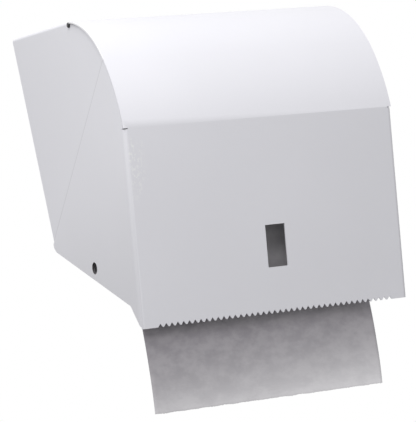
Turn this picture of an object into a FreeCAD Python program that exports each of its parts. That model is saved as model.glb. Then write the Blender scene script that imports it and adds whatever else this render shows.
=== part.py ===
import FreeCAD, Part
import math
import os
import re
import Sketcher

# Wall-mounted dispenser for a roll of paper towel.
# X runs along the roll, -Y points away from the wall and +Z is up.
# Outlines are drawn with the corner where the case meets the wall at its lower end as zero,
# and every piece is then lowered so that the wall screws' centre is the origin.

doc = FreeCAD.newDocument("paper_towel_dispenser")

# Sizes that can be set one by one, in millimetres and degrees
driving_sizes = {
    # folded sheet
    "sheet_wall": 1.2,
    "side_gap": 0.5,
    "brow_gap": 0.8,
    "cheek_gap": 0.6,
    "cover_bend": 3.5,
    "case_bend": 2.4,
    "cut_overrun": 20.0,
    # top hinge
    "hinge_gap": 7.33,
    "hinge_angle": 66.67,
    "rod_diameter": 3.0,
    "rod_clearance": 0.05,
    "rod_stand_out": 1.7,
    "curl_angle": 285.0,
    "curl_gap": 0.6,
    "curl_side_gap": 0.3,
    "curl_notch_gap": 0.8,
    "top_fall_angle": 14.7,
    "top_relief": 0.6,
    # curve and front of the cover
    "brow_start_angle": 21.0,
    "brow_room": 13.0,
    "brow_angle": 48.5,
    "nose_room": 74.0,
    "nose_angle": 23.3,
    "front_lean_angle": 17.0,
    "front_length": 153.0,
    "crease_relief_angle": 0.25,
    "crease_relief_depth": 4.5,
    "crease_relief_drop": 0.7,
    # cheeks of the cover
    "toe_setback": 10.3,
    "toe_rise": 21.44,
    "wall_gap": 3.3,
    "heel_cut": 3.0,
    "seam_height": 3.5,
    # window in the front panel
    "window_width": 17.2,
    "window_length": 33.2,
    "window_drop": 83.9,
    "window_shift": 4.0,
    # tear edge
    "tooth_count": 42.0,
    "tooth_margin": 16.23,
    "tooth_share": 0.83,
    "tooth_depth": 2.8,
    # hidden front of the case
    "under_inset": 2.5,
    "front_setback": 5.5,
    "cheek_cut": 6.0,
    "cheek_front_setback": 45.0,
    "case_toe_setback": 6.7,
    # wall screws
    "screw_hole": 6.0,
    "screw_arm_gap": 17.95,
    "screw_spacing_up": 100.0,
    "screw_centre_height": 95.0,
    # stops of the closed cover
    "tab_setback": 4.0,
    "tab_length": 14.0,
    "tab_reach": 11.0,
    "buffer_radius": 4.5,
    "buffer_gap": 0.1,
    # floor
    "floor_gap": 0.5,
    "floor_lip_setback": 5.7,
    "floor_lip_radius": 2.0,
    "floor_rear_flange": 12.0,
    "floor_tab_height": 9.0,
    "floor_rear_tab_start": 14.0,
    "floor_rear_tab_end": 50.0,
    "floor_front_tab_setback": 11.2,
    "floor_front_tab_length": 26.0,
    # roll of paper, partly used, in a case made for a full one
    "roll_wall_gap": 9.8,
    "roll_height": 74.0,
    "full_roll_radius": 75.0,
    "roll_radius": 45.0,
    "roll_width": 200.0,
    "roll_side_gap": 0.5,
    "core_radius": 20.2,
    "core_wall": 1.2,
    "core_gap": 0.1,
    # paper that hangs from the roll
    "paper_sheet": 0.5,
    "paper_gap": 0.3,
    "exit_gap": 8.0,
    "tail_length": 66.6,
    "tail_curl_angle": 13.6,
    # hubs
    "hub_clearance": 0.5,
    "hub_length": 12.5,
    "hub_taper": 4.5,
    "hub_fin_count": 6.0,
    "hub_fin": 2.2,
    "hub_boss_radius": 8.0,
    "hub_flange_radius": 25.0,
    "hub_flange": 1.5,
    "hub_cup_sheet": 1.0,
    "rivet_radius": 2.5,
    "rivet_head_radius": 4.8,
    "rivet_head": 1.8,
    # sprung arm
    "arm_bay": 27.7,
    "arm_sheet": 2.0,
    "arm_height": 44.0,
    "arm_nose_radius": 22.0,
    "arm_waist_share": 0.62,
    "arm_stand_off": 9.5,
    "pin_diameter": 4.0,
    "pin_clearance": 0.05,
    "pin_head_radius": 3.6,
    "pin_head": 1.2,
    "knuckle_length": 10.0,
    "bracket_sheet": 1.5,
    "bracket_width": 18.0,
    "bracket_end_gap": 0.3,
    "spring_wire": 1.3,
    "spring_gap": 0.35,
    "spring_end_gap": 0.3,
    "bracket_rivet_radius": 2.0,
    "bracket_rivet_head_radius": 3.6,
    "bracket_rivet_head": 1.2,
    "bracket_rivet_inset": 5.0,
    # push-pin latches
    "latch_setback": 51.0,
    "latch_rise": 9.515,
    "latch_hole": 9.0,
    "latch_pin_radius": 4.0,
    "latch_clearance": 0.08,
    "latch_sink": 0.2,
    "latch_travel": 1.9,
    "latch_stop_gap": 0.1,
    "latch_collar_radius": 4.4,
    "latch_collar": 1.5,
    "latch_tail_radius": 2.0,
    "latch_tail_over": 3.0,
    "latch_strip": 9.0,
    "latch_reach": 20.0,
    "latch_half_span": 7.4,
    "latch_foot": 8.0,
    "latch_spring_radius": 3.8,
    "latch_spring_wall": 1.2,
}

# Places worked out from those sizes; y and z are the directions in a side view
worked_out = {
    "cover_width": "roll_width + hub_cup_sheet + roll_side_gap + arm_bay + 4 * sheet_wall + 2 * side_gap",
    "cover_half": "cover_width / 2",
    "case_half": "cover_half - sheet_wall - side_gap",
    "case_inner": "case_half - sheet_wall",
    "rod_bore": "rod_diameter / 2 + rod_clearance",
    "curl_radius": "rod_bore + sheet_wall",
    "roll_depth": "sheet_wall + roll_wall_gap + full_roll_radius",
    "hinge_depth": "roll_depth + (full_roll_radius + hinge_gap) * cos(hinge_angle)",
    "hinge_height": "roll_height + (full_roll_radius + hinge_gap) * sin(hinge_angle)",
    "brow_radius": "full_roll_radius + brow_room",
    "nose_radius": "full_roll_radius + nose_room",
    "brow_end": "brow_start_angle + brow_angle",
    "nose_end": "brow_end + nose_angle",
    "brow_cy": "-hinge_depth + (brow_radius - curl_radius) * sin(brow_start_angle)",
    "brow_cz": "hinge_height - (brow_radius - curl_radius) * cos(brow_start_angle)",
    "nose_cy": "brow_cy + (nose_radius - brow_radius) * sin(brow_end)",
    "nose_cz": "brow_cz - (nose_radius - brow_radius) * cos(brow_end)",
    "crease_y": "nose_cy - nose_radius * sin(nose_end)",
    "crease_z": "nose_cz + nose_radius * cos(nose_end)",
    "bottom_y": "crease_y + front_length * sin(front_lean_angle)",
    "bottom_z": "crease_z - front_length * cos(front_lean_angle)",
    "toe_depth": "-bottom_y - toe_setback",
    "toe_drop": "-bottom_z - toe_rise",
    "under_angle": "atan(toe_drop / toe_depth) / 1 deg",
    "cheek_front": "front_length - cheek_front_setback",
    "tab_start": "cheek_front - tab_setback - tab_length",
    "case_toe": "toe_depth - case_toe_setback",
    "floor_lip_depth": "toe_depth - floor_lip_setback",
    "floor_front_tab_end": "floor_lip_depth / cos(under_angle) - floor_front_tab_setback",
    "floor_front_tab_start": "floor_front_tab_end - floor_front_tab_length",
    "latch_depth": "toe_depth - latch_setback",
    "latch_drop": "latch_depth * tan(under_angle) - latch_rise / cos(under_angle)",
    "tooth_pitch": "(cover_width - 2 * tooth_margin) / (tooth_count - 1)",
    "tooth_width": "tooth_pitch * tooth_share",
    "rear_height": "hinge_height + curl_radius / cos(top_fall_angle) + hinge_depth * tan(top_fall_angle)",
    "top_edge_y": "-hinge_depth + curl_radius + curl_gap",
    "top_edge_z": "rear_height + top_edge_y * tan(top_fall_angle)",
    "crease_mid": "(front_lean_angle + 90 + nose_end) / 2",
    "crease_half": "(front_lean_angle + 90 - nose_end) / 2",
    "under_rise": "under_inset / cos(under_angle)",
    "ear_end": "brow_start_angle + acos((curl_radius - sheet_wall - brow_gap) / curl_radius) / 1 deg",
    "case_brow_radius": "brow_radius - sheet_wall - brow_gap",
    "case_nose_radius": "nose_radius - sheet_wall - brow_gap",
    "cover_cheek_radius": "nose_radius - sheet_wall - cheek_gap",
    "front_set_y": "crease_y + front_setback * cos(front_lean_angle)",
    "front_set_z": "crease_z + front_setback * sin(front_lean_angle)",
    "floor_rise": "(under_inset + floor_gap) / cos(under_angle)",
    "roll_left": "-case_inner + hub_cup_sheet + roll_side_gap",
    "roll_right": "roll_left + roll_width",
    "arm_inner": "roll_right + roll_side_gap + hub_flange",
    "hub_radius": "core_radius - core_wall - hub_clearance",
    "pin_bore": "pin_diameter / 2 + pin_clearance",
    "knuckle_radius": "pin_bore + arm_sheet",
    "pin_x": "arm_inner + knuckle_radius",
    "screw_across": "pin_x - screw_arm_gap",
    "pin_depth": "sheet_wall + arm_stand_off",
    "arm_low": "roll_height - arm_height / 2",
    "arm_high": "roll_height + arm_height / 2",
    "exit_y": "bottom_y + exit_gap * cos(front_lean_angle)",
    "exit_z": "bottom_z + exit_gap * sin(front_lean_angle)",
    "web_reach": "sqrt((roll_depth + exit_y)^2 + (roll_height - exit_z)^2)",
    "web_radius": "roll_radius + paper_gap",
    "web_angle": "(atan2(roll_height - exit_z; roll_depth + exit_y) - asin(web_radius / web_reach)) / 1 deg",
    "web_length": "sqrt(web_reach^2 - web_radius^2)",
    "tail_radius": "tail_length / (tail_curl_angle * pi / 180)",
    "tail_angle": "web_angle - tail_curl_angle",
    "latch_far": "case_inner - latch_reach",
    "latch_stop": "case_inner - latch_travel - latch_stop_gap",
}

owner_of = {}


def written(name, rows, is_worked_out):
    """a sheet with one row for each named size"""
    sheet = doc.addObject("Spreadsheet::Sheet", name)
    for row, (alias, content) in enumerate(rows.items(), start=1):
        owner_of[alias] = name
        sheet.set("A" + str(row), alias)
        sheet.set("B" + str(row), "=" + linked(content) if is_worked_out else str(content))
        sheet.setAlias("B" + str(row), alias)
    doc.recompute()
    return sheet


def linked(formula):
    """the formula with each named size tied to its sheet"""
    return re.sub(r"[a-z]+(?:_[a-z]+)+", lambda word: owner_of[word.group()] + "." + word.group(), formula)


sizes = written("Sizes", driving_sizes, False)
places = written("Places", worked_out, True)


def value(formula):
    """what a formula comes to with the sizes as they are"""
    found = sizes.evalExpression(linked(formula))
    return float(getattr(found, "Value", found))


def tie(thing, spot, formula):
    """binds one property to a formula of named sizes"""
    thing.setExpression(spot, linked(formula))


def new_body(label):
    """an empty body, lowered so that the wall screws' centre is the origin"""
    body = doc.addObject("PartDesign::Body", label)
    body.Label = label
    tie(body, "Placement.Base.z", "-screw_centre_height")
    return body


def new_sketch(body, name, role, lift=None):
    """an empty sketch on one of the body's own planes, moved out by lift"""
    sketch = body.newObject("Sketcher::SketchObject", name)
    plane = next(flat for flat in body.Origin.OriginFeatures if flat.Role == role)
    sketch.AttachmentSupport = [(plane, "")]
    sketch.MapMode = "FlatFace"
    if lift:
        tie(sketch, "AttachmentOffset.Base.z", lift)
    return sketch


def pinned(sketch, geometry, spot, across, up):
    """holds one point of a sketch at two formulas"""
    for kind, formula in (("DistanceX", across), ("DistanceY", up)):
        number = sketch.addConstraint(Sketcher.Constraint(kind, -1, 1, geometry, spot, value(formula)))
        sketch.setExpression("Constraints[" + str(number) + "]", linked(formula))


def outline(sketch, corners, arcs=None):
    """a closed outline; arcs gives radius and turn of the edge that starts at a corner"""
    arcs = arcs or {}
    points = [FreeCAD.Vector(value(across), value(up), 0) for across, up in corners]
    starts, ends = [], []
    for number, start in enumerate(points):
        end = points[(number + 1) % len(points)]
        if number not in arcs:
            geometry = sketch.addGeometry(Part.LineSegment(start, end), False)
            starts.append((geometry, 1))
            ends.append((geometry, 2))
            continue
        formula, turn = arcs[number]
        radius = value(formula)
        half = (end - start) * 0.5
        side = FreeCAD.Vector(-half.y, half.x, 0).normalize()
        if turn == "right":
            side = side * -1
        centre = start + half + side * math.sqrt(max(radius ** 2 - half.Length ** 2, 0))
        first, last = (start, end) if turn == "left" else (end, start)
        from_angle = math.atan2(first.y - centre.y, first.x - centre.x)
        to_angle = math.atan2(last.y - centre.y, last.x - centre.x)
        circle = Part.Circle(centre, FreeCAD.Vector(0, 0, 1), radius)
        geometry = sketch.addGeometry(Part.ArcOfCircle(circle, from_angle, to_angle), False)
        starts.append((geometry, 1 if turn == "left" else 2))
        ends.append((geometry, 2 if turn == "left" else 1))
        number = sketch.addConstraint(Sketcher.Constraint("Radius", geometry, radius))
        sketch.setExpression("Constraints[" + str(number) + "]", linked(formula))
    for number, (geometry, spot) in enumerate(starts):
        sketch.addConstraint(Sketcher.Constraint("Coincident", *ends[number - 1], geometry, spot))
        pinned(sketch, geometry, spot, *corners[number])
    return sketch


def ring(sketch, across, up, radius):
    """a circle at a place"""
    centre = FreeCAD.Vector(value(across), value(up), 0)
    circle = Part.Circle(centre, FreeCAD.Vector(0, 0, 1), value(radius))
    geometry = sketch.addGeometry(circle, False)
    number = sketch.addConstraint(Sketcher.Constraint("Radius", geometry, value(radius)))
    sketch.setExpression("Constraints[" + str(number) + "]", linked(radius))
    pinned(sketch, geometry, 3, across, up)
    return sketch


def pad(body, sketch, length, both_ways=False):
    """material from a sketch, along its own normal or half each way"""
    made = body.newObject("PartDesign::Pad", sketch.Name + "_pad")
    made.Profile = sketch
    made.Midplane = both_ways
    tie(made, "Length", length)
    return made


def pocket(body, sketch, length, both_ways=False, backwards=False):
    """a cut from a sketch, against its normal, along it or half each way"""
    doc.recompute()
    before = body.Shape.Volume
    made = body.newObject("PartDesign::Pocket", sketch.Name + "_cut")
    made.Profile = sketch
    made.Midplane = both_ways
    made.Reversed = backwards
    tie(made, "Length", length)
    doc.recompute()
    if body.Shape.Volume >= before:
        raise ValueError(sketch.Name + " cuts nothing")
    return made


def mirrored(body, feature):
    """the same feature on the other side of the middle"""
    made = body.newObject("PartDesign::Mirrored", feature.Name + "_other_side")
    made.Originals = [feature]
    plane = next(flat for flat in body.Origin.OriginFeatures if flat.Role == "YZ_Plane")
    made.MirrorPlane = (plane, [""])
    body.Tip = made
    return made


def edges_between(body, pairs):
    """names of the edges whose two ends lie at the given places"""
    doc.recompute()
    names = []
    for start, end in pairs:
        wanted = [FreeCAD.Vector(*[value(part) for part in place]) for place in (start, end)]
        gaps = []
        for number, edge in enumerate(body.Tip.Shape.Edges, start=1):
            if len(edge.Vertexes) < 2:
                continue
            ends = [edge.Vertexes[0].Point, edge.Vertexes[-1].Point]
            straight = wanted[0].distanceToPoint(ends[0]) + wanted[1].distanceToPoint(ends[1])
            turned = wanted[0].distanceToPoint(ends[1]) + wanted[1].distanceToPoint(ends[0])
            gaps.append((min(straight, turned), "Edge" + str(number)))
        names.append(min(gaps)[1])
    return names


def rounded(body, name, pairs, radius):
    """folds: the named edges rounded"""
    names = edges_between(body, pairs)
    whole = body.Tip
    made = body.newObject("PartDesign::Fillet", name)
    made.Base = (whole, names)
    tie(made, "Radius", radius)
    doc.recompute()
    return made


def turned(body, sketch, axis="H_Axis"):
    """a solid of revolution about one of the sketch's own axes"""
    made = body.newObject("PartDesign::Revolution", sketch.Name + "_turned")
    made.Profile = sketch
    made.ReferenceAxis = (sketch, [axis])
    made.Angle = 360
    return made


def on_curve(centre, radius, angle):
    """a place on one of the cover's arcs, by its angle from straight up"""
    return (centre + "_cy - (" + radius + ") * sin(" + angle + ")",
            centre + "_cz + (" + radius + ") * cos(" + angle + ")")


def at_hinge(radius, angle):
    """a place round the hinge rod, by its angle from straight up towards the front"""
    return ("-hinge_depth - (" + radius + ") * sin(" + angle + ")",
            "hinge_height + (" + radius + ") * cos(" + angle + ")")


def down_front(along, inward):
    """a place on the front panel, along it from the crease and square into the case"""
    return ("crease_y + (" + along + ") * sin(front_lean_angle) + (" + inward + ") * cos(front_lean_angle)",
            "crease_z - (" + along + ") * cos(front_lean_angle) + (" + inward + ") * sin(front_lean_angle)")


def along_floor(depth, rise):
    """a place above the sloping underside, at a depth and square up from it"""
    return ("-(" + depth + ") - (" + rise + ") * sin(under_angle)",
            "-(" + depth + ") * tan(under_angle) + (" + rise + ") * cos(under_angle)")


# Rear case: back, sloping top and two cheeks folded from one sheet
rear_case = new_body("rear_case")
case_side = new_sketch(rear_case, "case_side", "YZ_Plane")
outline(case_side, [
    ("0", "under_rise"),
    ("0", "rear_height"),
    ("top_edge_y", "top_edge_z"),
    ("top_edge_y", "hinge_height - top_relief"),
    ("top_edge_y - curl_gap", "hinge_height - top_relief"),
    at_hinge("curl_radius", "-90"),
    at_hinge("curl_radius", "brow_start_angle"),
    at_hinge("curl_radius", "ear_end"),
    on_curve("brow", "case_brow_radius", "brow_end"),
    on_curve("nose", "case_nose_radius", "nose_end - cheek_cut"),
    ("front_set_y", "front_set_z"),
    down_front("cheek_front", "front_setback"),
    ("-case_toe", "-case_toe * tan(under_angle) + under_rise"),
], {5: ("curl_radius", "left"), 6: ("curl_radius", "left"), 7: ("case_brow_radius", "left"),
    8: ("case_nose_radius", "left")})
pad(rear_case, case_side, "2 * case_half", True)
top_rear = ("0", "rear_height")
top_front = ("top_edge_y", "top_edge_z")
rounded(rear_case, "case_folds", [
    (("-case_half", "0", "under_rise"), ("-case_half",) + top_rear),
    (("case_half", "0", "under_rise"), ("case_half",) + top_rear),
    (("-case_half",) + top_rear, ("-case_half",) + top_front),
    (("case_half",) + top_rear, ("case_half",) + top_front),
    (("-case_half",) + top_rear, ("case_half",) + top_rear),
], "case_bend")
case_inside = new_sketch(rear_case, "case_inside", "YZ_Plane")
inner_fall = "rear_height - sheet_wall / cos(top_fall_angle)"
outline(case_inside, [
    ("-sheet_wall", "-toe_drop - cut_overrun"),
    ("-sheet_wall", inner_fall + " - sheet_wall * tan(top_fall_angle)"),
    ("top_edge_y", inner_fall + " + top_edge_y * tan(top_fall_angle)"),
    ("top_edge_y", "rear_height + cut_overrun"),
    ("-hinge_depth - brow_radius", "rear_height + cut_overrun"),
    ("-hinge_depth - brow_radius", "-toe_drop - cut_overrun"),
])
pocket(rear_case, case_inside, "2 * case_inner", True)
inner_low = ("-sheet_wall", "under_rise")
inner_rear = ("-sheet_wall", inner_fall + " - sheet_wall * tan(top_fall_angle)")
inner_front = ("top_edge_y", inner_fall + " + top_edge_y * tan(top_fall_angle)")
rounded(rear_case, "case_inner_folds", [
    (("-case_inner",) + inner_low, ("-case_inner",) + inner_rear),
    (("case_inner",) + inner_low, ("case_inner",) + inner_rear),
    (("-case_inner",) + inner_rear, ("-case_inner",) + inner_front),
    (("case_inner",) + inner_rear, ("case_inner",) + inner_front),
], "case_bend - sheet_wall")
rod_holes = new_sketch(rear_case, "rod_holes", "YZ_Plane")
ring(rod_holes, "-hinge_depth", "hinge_height", "rod_diameter / 2")
pocket(rear_case, rod_holes, "cover_width", True)
pin_holes = new_sketch(rear_case, "pin_holes", "YZ_Plane")
ring(pin_holes, "-latch_depth", "-latch_drop", "latch_pin_radius + latch_clearance")
pocket(rear_case, pin_holes, "cover_width", True)
wall_holes = new_sketch(rear_case, "wall_holes", "XZ_Plane")
for across in ("-", ""):
    for up in ("-", "+"):
        ring(wall_holes, across + "screw_across",
             "screw_centre_height " + up + " screw_spacing_up / 2", "screw_hole / 2")
pocket(rear_case, wall_holes, "2 * cut_overrun", True)
tab_side = new_sketch(rear_case, "stop_tab", "YZ_Plane", "case_inner - tab_reach")
outline(tab_side, [
    down_front("tab_start", "front_setback"),
    down_front("tab_start + tab_length", "front_setback"),
    down_front("tab_start + tab_length", "front_setback + sheet_wall"),
    down_front("tab_start", "front_setback + sheet_wall"),
])
mirrored(rear_case, pad(rear_case, tab_side, "tab_reach + sheet_wall"))

# Rubber buffers on the case's two stop tabs
buffer_length = "front_setback - sheet_wall - buffer_gap"
for word, side in (("left", "-"), ("right", "")):
    buffer = new_body("buffer_" + word)
    buffer_side = new_sketch(buffer, "buffer_" + word + "_side", "XY_Plane")
    outline(buffer_side, [
        ("0", "0"),
        (buffer_length, "0"),
        (buffer_length, "buffer_radius"),
        ("0", "buffer_radius"),
    ])
    turned(buffer, buffer_side)
    across, up = down_front("tab_start + tab_length / 2", "front_setback")
    tie(buffer, "Placement.Base.x", side + "(case_inner - tab_reach / 2)")
    tie(buffer, "Placement.Base.y", across)
    tie(buffer, "Placement.Base.z", up + " - screw_centre_height")
    buffer.Placement.Rotation = (FreeCAD.Rotation(FreeCAD.Vector(1, 0, 0), value("front_lean_angle"))
                                 * FreeCAD.Rotation(FreeCAD.Vector(0, 0, 1), -90))

# Floor: sloping plate with a rear flange, welding tabs and a rolled lip that the paper runs over
case_floor = new_body("case_floor")
floor_side = new_sketch(case_floor, "floor_side", "YZ_Plane")
floor_base = "(under_inset + floor_gap)"
outline(floor_side, [
    ("-sheet_wall", "-sheet_wall * tan(under_angle) + floor_rise + floor_rear_flange"),
    ("-sheet_wall", "-sheet_wall * tan(under_angle) + floor_rise"),
    ("-floor_lip_depth", "-floor_lip_depth * tan(under_angle) + floor_rise"),
    ("-floor_lip_depth - sheet_wall * sin(under_angle)",
     "-floor_lip_depth * tan(under_angle) + floor_rise + sheet_wall * cos(under_angle)"),
    ("-2 * sheet_wall", "-2 * sheet_wall * tan(under_angle) + floor_rise + sheet_wall / cos(under_angle)"),
    ("-2 * sheet_wall", "-sheet_wall * tan(under_angle) + floor_rise + floor_rear_flange"),
])
pad(case_floor, floor_side, "2 * (case_inner - case_bend)", True)
floor_plate = new_sketch(case_floor, "floor_plate", "YZ_Plane")
outline(floor_plate, [
    ("-case_bend", "-case_bend * tan(under_angle) + floor_rise"),
    ("-floor_lip_depth", "-floor_lip_depth * tan(under_angle) + floor_rise"),
    ("-floor_lip_depth - sheet_wall * sin(under_angle)",
     "-floor_lip_depth * tan(under_angle) + floor_rise + sheet_wall * cos(under_angle)"),
    ("-case_bend", "-case_bend * tan(under_angle) + floor_rise + sheet_wall / cos(under_angle)"),
])
pad(case_floor, floor_plate, "2 * case_inner", True)
floor_lip = new_sketch(case_floor, "floor_lip", "YZ_Plane")
ring(floor_lip, "-floor_lip_depth - sheet_wall * sin(under_angle)",
     "-floor_lip_depth * tan(under_angle) + floor_rise + sheet_wall * cos(under_angle)", "floor_lip_radius")
pad(case_floor, floor_lip, "2 * case_inner", True)
for word in ("rear", "front"):
    first = "floor_" + word + "_tab_start * cos(under_angle)"
    last = "floor_" + word + "_tab_end * cos(under_angle)"
    floor_tab = new_sketch(case_floor, "floor_tab_" + word, "YZ_Plane", "case_inner - sheet_wall")
    outline(floor_tab, [
        along_floor(last, floor_base),
        along_floor(last, floor_base + " + floor_tab_height"),
        along_floor(first, floor_base + " + floor_tab_height"),
        along_floor(first, floor_base),
    ])
    mirrored(case_floor, pad(case_floor, floor_tab, "sheet_wall"))

# Hinge rod: its ends lie just inside the case's two ears
hinge_rod = new_body("hinge_rod")
rod_round = new_sketch(hinge_rod, "rod_round", "YZ_Plane")
ring(rod_round, "-hinge_depth", "hinge_height", "rod_diameter / 2")
pad(hinge_rod, rod_round, "2 * (case_half + rod_stand_out)", True)

# Front cover: curled hinge edge, curved brow and nose, leaning front panel and two cheeks
front_cover = new_body("front_cover")
cover_side = new_sketch(front_cover, "cover_side", "YZ_Plane")
bisected = "sheet_wall / cos(crease_half)"
outline(cover_side, [
    at_hinge("curl_radius", "brow_start_angle"),
    on_curve("brow", "brow_radius", "brow_end"),
    ("crease_y", "crease_z"),
    ("bottom_y", "bottom_z"),
    ("bottom_y + sheet_wall * cos(front_lean_angle)", "bottom_z + sheet_wall * sin(front_lean_angle)"),
    ("crease_y + " + bisected + " * sin(crease_mid)", "crease_z - " + bisected + " * cos(crease_mid)"),
    on_curve("brow", "brow_radius - sheet_wall", "brow_end"),
    at_hinge("rod_bore", "brow_start_angle"),
    at_hinge("rod_bore", "brow_start_angle - curl_angle / 2"),
    at_hinge("rod_bore", "brow_start_angle - curl_angle"),
    at_hinge("curl_radius", "brow_start_angle - curl_angle"),
    at_hinge("curl_radius", "brow_start_angle - curl_angle / 2"),
], {0: ("brow_radius", "left"), 1: ("nose_radius", "left"), 5: ("nose_radius - sheet_wall", "right"),
    6: ("brow_radius - sheet_wall", "right"), 7: ("rod_bore", "right"), 8: ("rod_bore", "right"),
    10: ("curl_radius", "left"), 11: ("curl_radius", "left")})
pad(front_cover, cover_side, "cover_width", True)
curl_end = new_sketch(front_cover, "curl_end", "YZ_Plane", "case_inner - curl_side_gap")
outline(curl_end, [
    ("-hinge_depth + curl_radius + curl_gap", "hinge_height - 2 * curl_radius"),
    ("-hinge_depth + curl_radius + curl_gap", "hinge_height + 2 * curl_radius"),
    ("-hinge_depth - curl_radius - curl_notch_gap", "hinge_height + 2 * curl_radius"),
    ("-hinge_depth - curl_radius - curl_notch_gap", "hinge_height - 2 * curl_radius"),
])
mirrored(front_cover, pocket(front_cover, curl_end, "cut_overrun", backwards=True))
cheek = new_sketch(front_cover, "cover_cheek", "YZ_Plane", "cover_half - sheet_wall")
outline(cheek, [
    on_curve("nose", "cover_cheek_radius", "brow_end"),
    on_curve("nose", "cover_cheek_radius", "nose_end - crease_relief_angle"),
    down_front("crease_relief_drop", "crease_relief_depth"),
    down_front("crease_relief_drop", "0"),
    ("bottom_y", "bottom_z"),
    ("-toe_depth", "-toe_drop"),
    ("-wall_gap - heel_cut", "-(wall_gap + heel_cut) * tan(under_angle)"),
    ("-wall_gap", "0"),
    ("-wall_gap", "seam_height"),
], {0: ("cover_cheek_radius", "left")})
mirrored(front_cover, pad(front_cover, cheek, "sheet_wall"))
corner_relief = new_sketch(front_cover, "corner_relief", "YZ_Plane", "cover_half - cover_bend")
outline(corner_relief, [
    down_front("0", "-sheet_wall"),
    down_front("crease_relief_drop", "-sheet_wall"),
    down_front("crease_relief_drop", "2 * sheet_wall"),
    down_front("0", "2 * sheet_wall"),
])
mirrored(front_cover, pocket(front_cover, corner_relief, "cut_overrun", backwards=True))
fold_top, fold_low = down_front("crease_relief_drop", "0"), ("bottom_y", "bottom_z")
rounded(front_cover, "cover_folds", [
    (("-cover_half",) + fold_top, ("-cover_half",) + fold_low),
    (("cover_half",) + fold_top, ("cover_half",) + fold_low),
], "cover_bend")
inner_top = down_front("crease_relief_drop", "sheet_wall")
inner_low = down_front("front_length", "sheet_wall")
rounded(front_cover, "cover_inner_folds", [
    (("-cover_half + sheet_wall",) + inner_top, ("-cover_half + sheet_wall",) + inner_low),
    (("cover_half - sheet_wall",) + inner_top, ("cover_half - sheet_wall",) + inner_low),
], "cover_bend - sheet_wall")
cover_holes = new_sketch(front_cover, "cover_pin_holes", "YZ_Plane")
ring(cover_holes, "-latch_depth", "-latch_drop", "latch_hole / 2")
pocket(front_cover, cover_holes, "cover_width + cut_overrun", True)


def on_front(name):
    """a sketch that lies on the leaning front panel, with the crease as its zero"""
    sketch = new_sketch(front_cover, name, "XZ_Plane")
    sketch.AttachmentOffset = FreeCAD.Placement(
        FreeCAD.Vector(0, value("crease_z"), -value("crease_y")),
        FreeCAD.Rotation(FreeCAD.Vector(1, 0, 0), value("front_lean_angle")))
    tie(sketch, "AttachmentOffset.Base.y", "crease_z")
    tie(sketch, "AttachmentOffset.Base.z", "-crease_y")
    tie(sketch, "AttachmentOffset.Rotation.Angle", "front_lean_angle")
    return sketch


window = on_front("window")
outline(window, [
    ("window_shift - window_width / 2", "-window_drop - window_length"),
    ("window_shift + window_width / 2", "-window_drop - window_length"),
    ("window_shift + window_width / 2", "-window_drop"),
    ("window_shift - window_width / 2", "-window_drop"),
])
pocket(front_cover, window, "cover_bend", True)
tooth_gap = on_front("tooth_gap")
first_gap = "-tooth_pitch * (tooth_count - 1) / 2"
outline(tooth_gap, [
    (first_gap + " - tooth_width / 2", "-front_length"),
    (first_gap + " - tooth_width / 2", "-front_length - tooth_depth"),
    (first_gap + " + tooth_width / 2", "-front_length - tooth_depth"),
    (first_gap + " + tooth_width / 2", "-front_length"),
    (first_gap, "-front_length + tooth_depth"),
])
tooth_cut = pocket(front_cover, tooth_gap, "2 * cover_bend", True)
teeth = front_cover.newObject("PartDesign::LinearPattern", "teeth")
teeth.Originals = [tooth_cut]
teeth.Direction = (tooth_gap, ["H_Axis"])
tie(teeth, "Length", "tooth_pitch * (tooth_count - 1)")
tie(teeth, "Occurrences", "tooth_count")
front_cover.Tip = teeth

# Left hub: pressed cup welded to the inside of the left cheek
roll_hub_left = new_body("roll_hub_left")
cup_side = new_sketch(roll_hub_left, "cup_side", "XY_Plane")
outline(cup_side, [
    ("-case_inner", "hub_flange_radius"),
    ("-case_inner", "hub_radius - hub_cup_sheet"),
    ("-case_inner + hub_length", "hub_radius - hub_cup_sheet"),
    ("-case_inner + hub_length", "0"),
    ("-case_inner + hub_length + hub_cup_sheet", "0"),
    ("-case_inner + hub_length + hub_cup_sheet", "hub_radius"),
    ("-case_inner + hub_cup_sheet", "hub_radius"),
    ("-case_inner + hub_cup_sheet", "hub_flange_radius"),
])
turned(roll_hub_left, cup_side)

# Right hub: moulded flange and boss with tapered fins, held on the sprung arm by a rivet
roll_hub_right = new_body("roll_hub_right")
hub_side = new_sketch(roll_hub_right, "hub_side", "XY_Plane")
hub_base, hub_nose = "arm_inner - hub_flange", "arm_inner - hub_flange - hub_length"
outline(hub_side, [
    ("arm_inner", "rivet_radius"),
    ("arm_inner", "hub_flange_radius"),
    (hub_base, "hub_flange_radius"),
    (hub_base, "hub_boss_radius"),
    (hub_nose, "hub_boss_radius"),
    (hub_nose, "rivet_radius"),
])
turned(roll_hub_right, hub_side)
hub_fin = new_sketch(roll_hub_right, "hub_fin", "XY_Plane")
outline(hub_fin, [
    (hub_base, "(hub_boss_radius + rivet_radius) / 2"),
    (hub_base, "hub_radius"),
    (hub_nose, "hub_radius - hub_taper"),
    (hub_nose, "(hub_boss_radius + rivet_radius) / 2"),
])
first_fin = pad(roll_hub_right, hub_fin, "hub_fin", True)
fins = roll_hub_right.newObject("PartDesign::PolarPattern", "hub_fins")
fins.Originals = [first_fin]
fins.Axis = (hub_side, ["H_Axis"])
fins.Angle = 360
tie(fins, "Occurrences", "hub_fin_count")
roll_hub_right.Tip = fins
hub_rivet = new_body("hub_rivet_right")
rivet_side = new_sketch(hub_rivet, "rivet_side", "XY_Plane")
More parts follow.
